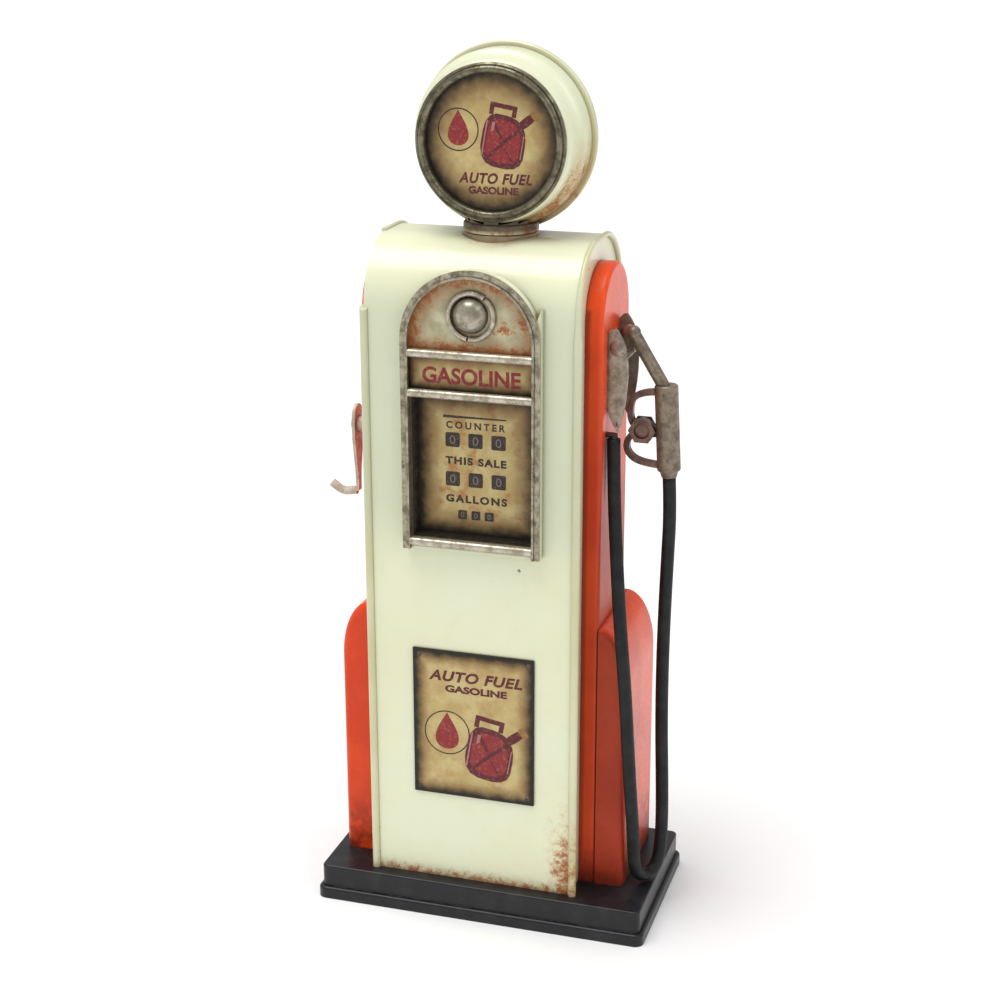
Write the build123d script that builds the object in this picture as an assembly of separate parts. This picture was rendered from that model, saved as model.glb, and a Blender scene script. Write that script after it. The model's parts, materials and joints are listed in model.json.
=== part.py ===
from build123d import *
import math
import os

# Tinplate display model of a vintage gas pump.
# Origin: middle of the base's underside. +X is the hose side, -Y the front, +Z up. Millimetres.

# ---- driving dimensions ----
BASE_W = 133.2          # upper tier of the base, along X
BASE_D = 70.8           # upper tier of the base, along Y
BASE_TOP = 14.2
FLANGE_H = 4.9
FLANGE_OUT = 1.6        # how far the flange stands out past the upper tier
SHEET = 1.0             # tin sheet

CX = -3.4               # middle of the cabinet: the base is longer on the hose side
CAB_HALF = 41.2
CAB_FRONT = -29.4
CAB_BACK = 33.6
CAB_TOP = 271.5
CAB_ROUND = 25.0        # arch corners, in side view
BEAD_R = 1.6
RIM_R = 1.0
TAPER_L = 9.0           # where the right front bead narrows into the arch's rim
PANEL_FACE = 40.4       # side panels, recessed inside the arch's rim

COLUMN_FACE = 47.3
COLUMN_FRONT = -16.8
COLUMN_BACK = 24.4
COLUMN_TOP = 262.5
FAIRING_FACE = 58.9
FAIRING_FRONT = -17.4
FAIRING_BACK = 29.5
FAIRING_SPRING = 100.5
FAIRING_TOP = 123.5

GLOBE_X = CX + 2.6      # the globe sits a little off the cabinet's middle
GLOBE_Z = 306.4
NECK_Y = (CAB_FRONT + CAB_BACK) / 2
NECK_R = 14.4
NECK_TOP = 272.6
COLLAR_R = 14.2         # the collar turns with the globe, on the neck ring
COLLAR_WAIST = 13.0
COLLAR_FOOT = 272.8
COLLAR_STEP = 276.2
NECK_BORE = 9.0
FLANGE_FLAT = 273.6     # the globe's rear flange is cut flat here, over the neck
SCREW_SEAT = 274.75     # underside of the swivel screw's head, inside the globe
SCREW_R = 2.0
SCREW_FOOT = 264.0
NUT_FOOT = 267.6
NECK_FOOT = 262.0       # the neck ring is cut to the cabinet's round top
RUNNING_GAP = 0.08      # round the swivel screw and the crank's rivet

DIAL_X = CX + 1.3
DIAL_HALF = 27.0
DIAL_FOOT = 155.1
DIAL_SPRING = 236.5
FRAME_Y = -33.0         # front of the dial housing
STRIP_W = 3.0
BAR_R = 1.65
BAR_LEVELS = {"lower": 158.2, "middle": 216.5, "upper": 231.7}
RECESS_BACK = -25.0
LAMP_Z = 246.2

POSTER_X = CX + 0.8
POSTER_HALF = 24.6
POSTER_Z0 = 51.4
POSTER_Z1 = 112.9

LEAF_T = 1.0
LEAF_FRONT_Y = -9.5
LEAF_REAR_Y = 8.0
HOSE_D = 5.1
STUB_R = 1.5            # spigot that the hose's upper end is pushed on

CRANK_Z = 193.0
CRANK_Y = -0.8
PLATE_IN = 55.6
PLATE_OUT = 56.8
PIN_R = 1.8

os.makedirs("parts", exist_ok=True)


# ---- helpers ----
def save(name, shape):
    shape.label = name
    export_step(shape, f"parts/{name}.step")


def arch_yz(front, back, foot, top, radius):
    """Face in the YZ plane: an upright with its two top corners rounded."""
    bulge = radius * (1 - math.sqrt(0.5))
    pts = [(back, foot), (back, top - radius), (back - bulge, top - bulge), (back - radius, top),
           (front + radius, top), (front + bulge, top - bulge), (front, top - radius), (front, foot)]
    edges = [Line(pts[0], pts[1]), ThreePointArc(pts[1], pts[2], pts[3])]
    if pts[3][0] - pts[4][0] > 0.01:
        edges.append(Line(pts[3], pts[4]))
    edges += [ThreePointArc(pts[4], pts[5], pts[6]), Line(pts[6], pts[7]), Line(pts[7], pts[0])]
    return Plane.YZ * make_face(Curve() + edges)


def slab_x(face, x0, x1):
    """Solid between two X values, from a face drawn in the YZ plane."""
    return extrude(Pos(x0, 0, 0) * face, x1 - x0, dir=(1, 0, 0))


def slab_y(face, front, back):
    """Solid between two Y values, from a face drawn in the XZ plane."""
    return extrude(Pos(0, back, 0) * face, back - front, dir=(0, -1, 0))


def box(x0, x1, y0, y1, z0, z1):
    return Pos((x0 + x1) / 2, (y0 + y1) / 2, (z0 + z1) / 2) * Box(x1 - x0, y1 - y0, z1 - z0)


def rod(start, end, radius):
    """Round rod between two points."""
    line = Vector(end) - Vector(start)
    plane = Plane(origin=start, z_dir=line)
    return extrude(plane * Circle(radius), line.length)


def spun(points, centre_x, centre_z, smooth=()):
    """Turned part about a Y axis; points are (radius, y), smooth names the spline stretches."""
    edges = []
    i = 0
    while i < len(points) - 1:
        stretch = [s for s in smooth if s[0] == i]
        last = stretch[0][1] if stretch else i + 1
        run = points[i:last + 1]
        edges.append(Spline(*run) if stretch else Line(*run))
        i = last
    edges.append(Line(points[-1], points[0]))
    face = Pos(centre_x, 0, centre_z) * make_face(Curve() + edges)
    return revolve(face, Axis((centre_x, 0, centre_z), (0, 1, 0)))


def both_sides(name, shape):
    """Right-hand piece, and its mirror image on the left."""
    save(f"{name}_right", shape)
    save(f"{name}_left", mirror(shape, about=Plane.YZ.offset(CX)))


# ---- base ----
def rounded_block(half_x, half_y, z0, z1, corner, edge):
    block = extrude(Pos(0, 0, z0) * RectangleRounded(2 * half_x, 2 * half_y, corner), z1 - z0)
    return fillet(block.edges().group_by(Axis.Z)[-1], edge)


def base():
    upper = rounded_block(BASE_W / 2, BASE_D / 2, FLANGE_H, BASE_TOP, 2.5, 0.8)
    inner = box(-BASE_W / 2 + SHEET, BASE_W / 2 - SHEET, -BASE_D / 2 + SHEET, BASE_D / 2 - SHEET,
                FLANGE_H, BASE_TOP - SHEET)
    save("base_box", upper - inner)

    half_x = BASE_W / 2 + FLANGE_OUT
    half_y = BASE_D / 2 + FLANGE_OUT
    flange = rounded_block(half_x, half_y, 0, FLANGE_H, 3.5, 1.2)
    opening = box(-half_x + 8, half_x - 8, -half_y + 8, half_y - 8, 0, FLANGE_H)
    seat = box(-half_x + 6, half_x - 6, -half_y + 6, half_y - 6, 0.8, 0.8 + SHEET)
    save("base_flange", flange - opening - seat)
    save("base_bottom", seat)


# ---- cabinet ----
def cabinet_outline(inset=0.0, foot=BASE_TOP):
    return arch_yz(CAB_FRONT + inset, CAB_BACK - inset, foot, CAB_TOP - inset, CAB_ROUND - inset)


def cabinet_envelope():
    return slab_x(cabinet_outline(), CX - CAB_HALF, CX + CAB_HALF)


def dial_window():
    return box(DIAL_X - 24.2, DIAL_X + 24.2, CAB_FRONT - 1, CAB_FRONT + 3,
               BAR_LEVELS["lower"] + 1, BAR_LEVELS["middle"] - 0.7)


def cabinet():
    wrap = cabinet_envelope() - slab_x(cabinet_outline(SHEET), CX - CAB_HALF, CX + CAB_HALF)
    wrap -= box(CX - CAB_HALF, CX + CAB_HALF, CAB_FRONT + SHEET, CAB_BACK - SHEET, BASE_TOP - 1, BASE_TOP + 5)
    screw_hole = Pos(GLOBE_X, NECK_Y, CAB_TOP - 2) * Cylinder(SCREW_R, 6)
    save("cabinet_wrap", wrap - dial_window() - screw_hole)

    panel = slab_x(cabinet_outline(SHEET), CX + PANEL_FACE - SHEET, CX + PANEL_FACE)
    both_sides("side_panel", panel)

    left_top = CAB_TOP - 23.5
    left = rod((CX - CAB_HALF, CAB_FRONT, BASE_TOP), (CX - CAB_HALF, CAB_FRONT, left_top), BEAD_R)
    tip = Pos(CX - CAB_HALF, CAB_FRONT - BEAD_R, left_top) * Rot(30, 0, 0) * Box(8, 8, 4)
    save("front_bead_left", left - tip - cabinet_envelope())
    save("rim_bead_left", rim_bead(-1, CAB_FRONT + CAB_ROUND - 2))

    taper = CAB_TOP - CAB_ROUND
    right = rod((CX + CAB_HALF, CAB_FRONT, BASE_TOP), (CX + CAB_HALF, CAB_FRONT, taper - TAPER_L), BEAD_R)
    wide = Plane(origin=(CX + CAB_HALF, CAB_FRONT, taper - TAPER_L)) * Circle(BEAD_R)
    narrow = Plane(origin=(CX + CAB_HALF, CAB_FRONT, taper)) * Circle(RIM_R)
    save("front_bead_right", right + loft([wide, narrow]) - cabinet_envelope())
    save("rim_bead_right", rim_bead(1, None))


def rim_bead(sign, front_end):
    """Wire rolled into the arch's edge, over the arch and down to the base at the back.

    It starts on top of the arch at Y front_end, or where the front corner springs if that is None."""
    x = CX + sign * CAB_HALF
    bulge = CAB_ROUND * (1 - math.sqrt(0.5))
    spring = CAB_TOP - CAB_ROUND
    front_top = (x, CAB_FRONT + CAB_ROUND, CAB_TOP)
    back_top = (x, CAB_BACK - CAB_ROUND, CAB_TOP)
    shoulder = (x, CAB_BACK, spring)
    edges = [Line(front_top, back_top), ThreePointArc(back_top, (x, CAB_BACK - bulge, CAB_TOP - bulge), shoulder),
             Line(shoulder, (x, CAB_BACK, BASE_TOP))]
    start = (x, front_end, CAB_TOP)
    direction = (0, 1, 0)
    if front_end is None:
        start = (x, CAB_FRONT, spring)
        direction = (0, 0, 1)
        edges.insert(0, ThreePointArc(start, (x, CAB_FRONT + bulge, CAB_TOP - bulge), front_top))
    else:
        edges[0] = Line(start, back_top)
    section = Plane(origin=start, z_dir=direction) * Circle(RIM_R)
    return sweep(section, path=Wire(edges)) - cabinet_envelope()


# ---- side columns and fairings ----
def column_outline(inset=0.0, foot=BASE_TOP):
    radius = (COLUMN_BACK - COLUMN_FRONT) / 2
    return arch_yz(COLUMN_FRONT + inset, COLUMN_BACK - inset, foot, COLUMN_TOP - inset, radius - inset)


def column_envelope():
    return slab_x(column_outline(), CX + PANEL_FACE, CX + COLUMN_FACE)


def column():
    outer = column_envelope()
    rim = [e for e in outer.edges().group_by(Axis.X)[-1] if e.center().Z > BASE_TOP + 1]
    outer = fillet(rim, 1.6)
    return outer - slab_x(column_outline(SHEET, BASE_TOP - 1), CX + PANEL_FACE - 1, CX + COLUMN_FACE - SHEET)


def fairing_outline(inset=0.0, foot=BASE_TOP):
    """Face in the XZ plane: upright with a quarter-round shoulder on its outer side."""
    inner = CX + PANEL_FACE
    start = CX + COLUMN_FACE
    outer = CX + FAIRING_FACE - inset
    top = FAIRING_TOP - inset
    shoulder = EllipticalCenterArc((start, FAIRING_SPRING), outer - start, top - FAIRING_SPRING,
                                   start_angle=0, arc_size=90)
    edges = [Line((inner, foot), (outer, foot)), Line((outer, foot), (outer, FAIRING_SPRING)), shoulder,
             Line((start, top), (inner, top)), Line((inner, top), (inner, foot))]
    return Plane.XZ * make_face(Curve() + edges)


def fairing():
    outer = slab_y(fairing_outline(), FAIRING_FRONT, FAIRING_BACK)
    front = [e for e in outer.edges().group_by(Axis.Y)[0]
             if e.center().X > CX + COLUMN_FACE + 1 and e.center().Z > BASE_TOP + 1]
    outer = fillet(front, 2.6)
    hollow = slab_y(fairing_outline(SHEET, BASE_TOP - 1), FAIRING_FRONT + SHEET, FAIRING_BACK - SHEET)
    keep_out = box(CX + PANEL_FACE, CX + COLUMN_FACE, FAIRING_FRONT - 1, COLUMN_BACK, BASE_TOP - 1, FAIRING_TOP + 1)
    wall = box(CX + PANEL_FACE, CX + COLUMN_FACE, COLUMN_BACK + SHEET, FAIRING_BACK - SHEET,
               BASE_TOP - 1, FAIRING_TOP - SHEET)
    room = box(CX + COLUMN_FACE + SHEET, CX + FAIRING_FACE, FAIRING_FRONT, FAIRING_BACK, BASE_TOP - 1, FAIRING_TOP)
    return outer - keep_out - wall - (hollow & room)


# ---- globe ----
SHELL_OUT = [(28.5, -10.6), (29.5, -9.7), (30.2, -7.0), (30.7, -4.4), (31.3, -3.0), (32.4, -1.9),
             (32.9, -0.2), (33.0, 9.8)]


def outside_drum(shape):
    """What is left of a shape outside the globe's bezel and shell, taken as steps of one radius each."""
    steps = [(28.75, -13.4), (30.2, -10.6), (31.3, -7.0), (33.0, -3.0)]
    ends = [start for _, start in steps[1:]] + [10.8]
    for (radius, start), end in zip(steps, ends):
        shape -= rod((GLOBE_X, start, GLOBE_Z), (GLOBE_X, end, GLOBE_Z), radius)
    return shape


def globe():
    inner = [(r - SHEET, max(y, -9.6)) for r, y in reversed(SHELL_OUT)]
    shell = spun(SHELL_OUT + inner[:-1] + [(25.6, -9.6), (25.6, -10.6)], GLOBE_X, GLOBE_Z)
    hole = Pos(GLOBE_X, NECK_Y, GLOBE_Z - 33) * Cylinder(SCREW_R + RUNNING_GAP, 8)
    save("globe_shell", shell - hole)

    bezel = [(25.1, -10.6), (25.1, -12.0), (25.6, -12.9), (26.5, -13.2), (27.3, -12.8), (27.7, -12.2),
             (28.2, -12.4), (28.75, -11.9), (28.75, -10.6)]
    save("globe_bezel", spun(bezel, GLOBE_X, GLOBE_Z, smooth=[(1, 5)]))
    save("globe_face", spun([(0, -9.6), (27.8, -9.6), (27.8, -8.8), (0, -8.8)], GLOBE_X, GLOBE_Z))

    flange = spun([(33.0, 8.6), (34.4, 8.6), (34.9, 9.2), (34.9, 11.0), (34.4, 11.6), (33.0, 11.6)],
                  GLOBE_X, GLOBE_Z)
    below_flat = box(GLOBE_X - 30, GLOBE_X + 30, 8.6, 30, GLOBE_Z - 36, FLANGE_FLAT)
    save("globe_flange", flange - below_flat)

    dish = [(33.0, 9.8), (33.0, 10.8), (30.5, 11.3), (24.0, 12.7), (12.0, 13.9), (0, 14.3),
            (0, 13.3), (12.0, 12.9), (24.0, 11.7), (30.0, 10.4), (31.5, 9.8)]
    save("globe_back", spun(dish, GLOBE_X, GLOBE_Z, smooth=[(1, 5), (6, 9)]))

    bore = extrude(Pos(GLOBE_X, NECK_Y, COLLAR_FOOT) * Circle(NECK_BORE), 9)
    ring = extrude(Pos(GLOBE_X, NECK_Y, COLLAR_FOOT) * Circle(COLLAR_R), COLLAR_STEP - COLLAR_FOOT)
    ring = fillet(ring.edges().group_by(Axis.Z)[-1], 1.0)
    waist = extrude(Pos(GLOBE_X, NECK_Y, COLLAR_FOOT) * Circle(COLLAR_WAIST), 6.5)
    collar = (outside_drum(ring) - bore) + (outside_drum(waist) - bore)
    above_flat = box(GLOBE_X - 30, GLOBE_X + 30, 8.6, 30, FLANGE_FLAT - 0.2, 300)
    save("globe_collar", collar - above_flat)


def neck():
    ring = extrude(Pos(GLOBE_X, NECK_Y, NECK_FOOT) * Circle(NECK_R), NECK_TOP - NECK_FOOT)
    ring = fillet(ring.edges().group_by(Axis.Z)[-1], 1.2)
    ring -= extrude(Pos(GLOBE_X, NECK_Y, NECK_FOOT) * Circle(NECK_BORE), 12)
    save("neck_ring", ring - cabinet_envelope())

    foot = (GLOBE_X, NECK_Y, SCREW_FOOT)
    seat = (GLOBE_X, NECK_Y, SCREW_SEAT)
    shaft = rod(foot, seat, SCREW_R)
    head = rod(seat, (GLOBE_X, NECK_Y, SCREW_SEAT + 1.8), 3.2)
    save("neck_screw", shaft + fillet(head.edges().group_by(Axis.Z)[-1], 0.5))
    nut = extrude(Pos(GLOBE_X, NECK_Y, NUT_FOOT) * RegularPolygon(3.8, 6), CAB_TOP - SHEET - NUT_FOOT)
    save("neck_nut", nut - rod(foot, seat, SCREW_R))


# ---- dial ----
def dial_outline(inset=0.0, foot=DIAL_FOOT):
    """Face in the XZ plane: the dial's tall arch."""
    half = DIAL_HALF - inset
    left = DIAL_X - half
    right = DIAL_X + half
    edges = [Line((left, foot), (right, foot)), Line((right, foot), (right, DIAL_SPRING)),
             ThreePointArc((right, DIAL_SPRING), (DIAL_X, DIAL_SPRING + half), (left, DIAL_SPRING)),
             Line((left, DIAL_SPRING), (left, foot))]
    return Plane.XZ * make_face(Curve() + edges)


def dial():
    wall = 1.2
    hollow = slab_y(dial_outline(wall, DIAL_FOOT + wall), FRAME_Y, CAB_FRONT)
    housing = slab_y(dial_outline(), FRAME_Y, CAB_FRONT) - hollow
    tip = [(DIAL_X + DIAL_HALF, DIAL_SPRING), (DIAL_X + DIAL_HALF, DIAL_SPRING + 14), (DIAL_X + 25.0, DIAL_SPRING + 9)]
    ear = slab_y(Plane.XZ * make_face(Polyline(*tip, close=True)), FRAME_Y + 0.5, CAB_FRONT)
    save("dial_housing", housing + (ear - slab_y(dial_outline(), FRAME_Y, CAB_FRONT)))

    inside = slab_y(dial_outline(STRIP_W, DIAL_FOOT - 1), FRAME_Y - 2, FRAME_Y)
    strip = slab_y(dial_outline(), FRAME_Y - 0.9, FRAME_Y)
    lip = slab_y(dial_outline(STRIP_W - 0.8), FRAME_Y - 1.5, FRAME_Y - 0.8)
    save("dial_frame", strip + lip - inside)

    reach = DIAL_HALF - STRIP_W
    for name, level in BAR_LEVELS.items():
        ends = ((DIAL_X - reach, FRAME_Y - 0.2, level), (DIAL_X + reach, FRAME_Y - 0.2, level))
        save(f"dial_bar_{name}", rod(*ends, BAR_R))

    plate_back = CAB_FRONT
    upper = slab_y(dial_outline(wall), plate_back - 1.2, plate_back)
    split = BAR_LEVELS["upper"]
    middle = BAR_LEVELS["middle"]
    save("arch_plate", upper & box(-60, 60, -40, 0, split, 300))
    header = slab_y(dial_outline(wall), plate_back - 0.8, plate_back)
    save("header_plate", header & box(-60, 60, -40, 0, middle, split))

    recess = box(DIAL_X - 24.2, DIAL_X + 24.2, CAB_FRONT, RECESS_BACK,
                 BAR_LEVELS["lower"] + 1, middle - 0.7)
    well = box(DIAL_X - 23.4, DIAL_X + 23.4, CAB_FRONT, RECESS_BACK,
               BAR_LEVELS["lower"] + 1.8, middle - 1.5)
    save("dial_recess", recess - well)
    save("dial_plate", box(DIAL_X - 24.2, DIAL_X + 24.2, RECESS_BACK, RECESS_BACK + 0.8,
                           BAR_LEVELS["lower"] + 1, middle - 0.7))

    lamp_y = plate_back - 1.2
    dome = Pos(DIAL_X - 0.5, lamp_y + 2.6, LAMP_Z + 0.3) * Sphere(7.4)
    save("lamp_dome", dome & box(-60, 60, -60, lamp_y, 200, 300))
    wire_r = 0.95
    ring = Pos(DIAL_X, lamp_y - wire_r, LAMP_Z) * Rot(90, 0, 0) * Torus(8.6, wire_r)
    for angle in (52, 262):
        spot = (DIAL_X + 8.6 * math.cos(math.radians(angle)), lamp_y, LAMP_Z + 8.6 * math.sin(math.radians(angle)))
        ring -= Pos(*spot) * Rot(0, -angle, 0) * Box(4, 4, 0.8)
    save("lamp_ring", ring)


# ---- poster ----
def poster():
    face = CAB_FRONT - 0.8
    save("poster_plate", box(POSTER_X - POSTER_HALF, POSTER_X + POSTER_HALF, face, CAB_FRONT, POSTER_Z0, POSTER_Z1))
    heads = []
    for x in (POSTER_X - POSTER_HALF + 2.4, POSTER_X + POSTER_HALF - 2.4):
        for z in (POSTER_Z0 + 2.6, POSTER_Z1 - 2.6):
            heads.append(Pos(x, face + 0.5, z) * Sphere(1.1) & box(-60, 60, -60, face, 0, 200))
    save("poster_rivets", Compound(children=heads))


# ---- holster on the right-hand column ----
def leaf_face(lift):
    """Face in the XZ plane: a leaf standing out from the column, its tip downwards."""
    root = CX + COLUMN_FACE
    tip = (root + 4.6, 200.2 + lift)
    top = (root + 3.2, 240.0 + lift)
    outer = Spline(top, (root + 6.3, 234.5 + lift), (root + 7.8, 224.5 + lift), (root + 7.0, 211.5 + lift), tip)
    inner = Spline(tip, (root + 2.6, 203.0 + lift), (root, 209.5 + lift))
    return Plane.XZ * make_face(Curve() + [outer, inner, Line((root, 209.5 + lift), (root, 236.5 + lift)),
                                           Spline((root, 236.5 + lift), (root + 1.0, 239.2 + lift), top)])


def holster():
    for name, y, lift in (("front", LEAF_FRONT_Y, 0.0), ("rear", LEAF_REAR_Y, 2.2)):
        leaf = slab_y(leaf_face(lift), y, y + LEAF_T)
        root = CX + COLUMN_FACE
        boss = Pos(root + 3.9, y + 4.0, 232.8 + lift) * Sphere(5.1) & box(0, 80, y - 3, y, 200, 250)
        rivet = Pos(root + 4.5, y + 0.3, 203.6 + lift) * Sphere(1.0) & box(0, 80, y - 3, y, 190, 250)
        save(f"holster_{name}", leaf + boss + rivet)
    strip = box(CX + COLUMN_FACE, CX + COLUMN_FACE + 0.8, LEAF_FRONT_Y + LEAF_T, LEAF_REAR_Y, 214, 232)
    save("holster_strip", strip)
    save("holster_pin", rod((CX + 54.0, LEAF_FRONT_Y + LEAF_T, 229.2), (CX + 54.0, LEAF_REAR_Y, 229.2), 0.9))


# ---- nozzle, between the holster's leaves ----
HANDLE_TOP = (CX + 67.7, 0, 217.9)
HANDLE_FOOT = (CX + 69.6, 0, 184.4)
HANDLE_R = 4.5
FERRULE_L = 2.4
GUARD_HALF = 1.3
BOLT_X = 59.2
BOLT_Z = 199.8


def handle_envelope():
    return rod(HANDLE_TOP, HANDLE_FOOT, HANDLE_R)


def nozzle():
    handle = handle_envelope()
    save("nozzle_handle", fillet(handle.edges().filter_by(GeomType.CIRCLE), 0.9))

    spout_tip = (CX + 55.3, 0, 236.0)
    spout_root = (CX + 66.9, 0, 217.0)
    save("nozzle_spout", rod(spout_tip, spout_root, 2.45) - handle)
    knob = Pos(CX + 54.8, 0, 236.9) * Sphere(2.8)
    save("nozzle_tip", knob - rod(spout_tip, spout_root, 2.45))

    axis = (Vector(HANDLE_FOOT) - Vector(HANDLE_TOP)).normalized()
    cone_top = Vector(HANDLE_FOOT)
    wide = Plane(origin=cone_top, z_dir=axis) * Circle(3.6)
    narrow = Plane(origin=cone_top + axis * FERRULE_L, z_dir=axis) * Circle(2.9)
    save("nozzle_ferrule", loft([wide, narrow]))

    upper = [(66.5, 214.6), (59.6, 214.2), (55.6, 211.9), (54.3, 207.4), (55.2, 202.6), (58.5, 200.2)]
    lower = [(58.5, 199.4), (54.2, 196.6), (53.1, 193.0), (54.9, 189.4), (59.6, 187.2), (67.5, 186.2)]
    guard = slab_y(Plane.XZ * Pos(CX + BOLT_X, BOLT_Z) * Circle(4.6), -GUARD_HALF, GUARD_HALF)
    for line in (upper, lower):
        points = [(CX + x, z) for x, z in line]
        guard += slab_y(Plane.XZ * trace(Spline(*points), line_width=2.3), -GUARD_HALF, GUARD_HALF)
    guard += box(CX + BOLT_X, CX + 67, -1.2, 1.2, BOLT_Z - 2.4, BOLT_Z + 2.0)
    save("nozzle_guard", guard - handle)

    hexagon = Plane.XZ * Pos(CX + BOLT_X, BOLT_Z) * RegularPolygon(5.3, 6)
    cup = rod((CX + BOLT_X, -5, BOLT_Z), (CX + BOLT_X, -GUARD_HALF - 0.3, BOLT_Z), 3.1)
    save("nozzle_bolt", slab_y(hexagon, -GUARD_HALF - 1.5, -GUARD_HALF) - cup - handle)
    save("nozzle_nut", slab_y(hexagon, GUARD_HALF, GUARD_HALF + 1.2) - handle)


# ---- crank on the left-hand column ----
def crank():
    face = CX - COLUMN_FACE
    post = rod((face, CRANK_Y, CRANK_Z), (CX - PLATE_IN + 0.15, CRANK_Y, CRANK_Z), 3.0)
    save("crank_post", post)
    shaft = rod((CX - PLATE_IN + 0.15, CRANK_Y, CRANK_Z), (CX - PLATE_OUT - 0.15, CRANK_Y, CRANK_Z), PIN_R)
    head = rod((CX - PLATE_OUT - 0.15, CRANK_Y, CRANK_Z), (CX - PLATE_OUT - 1.35, CRANK_Y, CRANK_Z), 2.7)
    save("crank_rivet", shaft + fillet(head.edges().group_by(Axis.X)[0], 0.8))

    half = [(0.0, 8.2), (3.4, 6.4), (4.7, 0.5), (4.3, -6.5), (3.0, -14.0), (1.9, -20.0), (1.7, -27.5)]
    side = [(CRANK_Y + y, CRANK_Z + z) for y, z in half]
    other = [(CRANK_Y - y, CRANK_Z + z) for y, z in reversed(half)]
    outline = Plane.YZ * make_face(Curve() + [Spline(*side), Line(side[-1], other[0]), Spline(*other)])
    plate = slab_x(outline, CX - PLATE_OUT, CX - PLATE_IN)
    save("crank_plate", plate - rod((CX - 60, CRANK_Y, CRANK_Z), (CX - 50, CRANK_Y, CRANK_Z), PIN_R + RUNNING_GAP))

    level = CRANK_Z - 27.8
    ends = [(CX - PLATE_OUT, CRANK_Y, level), (CX - 62.0, CRANK_Y, level - 0.6), (CX - 67.6, CRANK_Y, level + 2.4)]
    path = Spline(*ends, tangents=[(-1, 0, 0), (-0.8, 0, 0.6)])
    grip = sweep(Plane(origin=ends[0], z_dir=(-1, 0, 0)) * Circle(1.7), path=path)
    bore = rod((CX - 69.0, CRANK_Y, level + 3.45), (CX - 64.6, CRANK_Y, level + 0.15), 1.0)
    save("crank_grip", grip - bore)


# ---- hose ----
HOSE_ROUTE = [(50.2, -9.5, 198.0), (50.6, -9.9, 182.0), (52.8, -13.8, 158.0), (56.4, -20.8, 131.0),
              (59.7, -23.6, 104.0), (61.2, -23.2, 80.0), (62.1, -21.0, 59.0), (62.7, -18.3, 43.0),
              (62.8, -16.0, 31.5), (63.2, -15.2, 22.2), (65.1, -12.0, 17.6), (68.2, -6.9, 17.2),
              (70.2, -3.6, 21.2), (70.9, -2.4, 29.4), (71.0, -2.0, 41.0), (70.5, -1.6, 57.0),
              (69.5, -0.6, 78.0), (69.0, 0.3, 102.0), (69.2, 0.6, 126.0), (69.8, 0.5, 148.0)]


def hose():
    foot = Vector(HANDLE_FOOT)
    axis = (foot - Vector(HANDLE_TOP)).normalized()
    end = foot + axis * FERRULE_L
    points = [Vector(CX + x, y, z) for x, y, z in HOSE_ROUTE] + [end + axis * 14, end]
    runs = [b - a for a, b in zip(points, points[1:])]
    radii = []
    for a, b in zip(runs, runs[1:]):
        turn = math.radians(a.get_angle(b))
        radii.append(0.45 * min(a.length, b.length) / math.tan(turn / 2))
    path = FilletPolyline(*points, radius=radii)
    tube = sweep(Plane(origin=points[0], z_dir=runs[0]) * Circle(HOSE_D / 2), path=path)
    save("hose", tube)
    section = math.pi * HOSE_D ** 2 / 4
    print("hose length", round(path.length, 1))
    print("hose volume", round(tube.volume), "section times length", round(section * path.length))
    print("hose radii", [round(r, 1) for r in radii])

    top = points[0]
    drop = extrude(Plane(origin=top, z_dir=-runs[0]) * Circle(STUB_R), 2.0)
    arm_z = top.Z + 1.9
    arm = rod((CX + COLUMN_FACE, top.Y, arm_z), (top.X, top.Y, arm_z), STUB_R)
    below_leaf = box(CX + COLUMN_FACE, 80, -30, 30, 150, 200.1)
    save("hose_stub", (drop + arm) & below_leaf)


base()
cabinet()
both_sides("column", column())
both_sides("fairing", fairing())
globe()
neck()
dial()
poster()
holster()
nozzle()
crank()
hose()
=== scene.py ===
import json
import math

import bmesh
import bpy
from mathutils import Matrix, Vector


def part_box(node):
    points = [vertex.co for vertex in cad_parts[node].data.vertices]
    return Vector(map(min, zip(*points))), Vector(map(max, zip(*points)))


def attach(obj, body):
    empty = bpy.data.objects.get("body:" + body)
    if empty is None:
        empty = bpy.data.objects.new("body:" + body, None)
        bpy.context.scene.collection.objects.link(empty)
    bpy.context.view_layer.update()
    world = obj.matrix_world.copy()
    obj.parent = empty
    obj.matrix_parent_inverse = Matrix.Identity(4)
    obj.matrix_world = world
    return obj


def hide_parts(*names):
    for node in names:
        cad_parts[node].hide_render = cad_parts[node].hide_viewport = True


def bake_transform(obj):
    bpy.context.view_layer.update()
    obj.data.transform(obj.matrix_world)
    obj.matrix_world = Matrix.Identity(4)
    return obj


# Looks of the tinplate gas pump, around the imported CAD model. Lengths below are millimetres in the
# CAD frame (+X hose side, -Y front, +Z up) and become metres where meshes are made.

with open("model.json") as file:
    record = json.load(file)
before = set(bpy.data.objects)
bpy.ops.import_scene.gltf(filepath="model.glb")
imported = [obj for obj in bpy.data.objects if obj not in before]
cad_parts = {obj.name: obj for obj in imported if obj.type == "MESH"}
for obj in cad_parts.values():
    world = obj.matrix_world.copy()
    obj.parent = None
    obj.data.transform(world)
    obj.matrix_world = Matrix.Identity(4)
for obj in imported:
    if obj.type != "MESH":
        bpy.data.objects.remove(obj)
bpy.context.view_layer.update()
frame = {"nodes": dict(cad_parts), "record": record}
MM = 0.001
RECORD = frame["record"]


# ---- places read from the frame ----
def span(node):
    """A CAD node's box in millimetres: (lowest corner, highest corner)."""
    low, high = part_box(node)
    return [v / MM for v in low], [v / MM for v in high]


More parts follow.
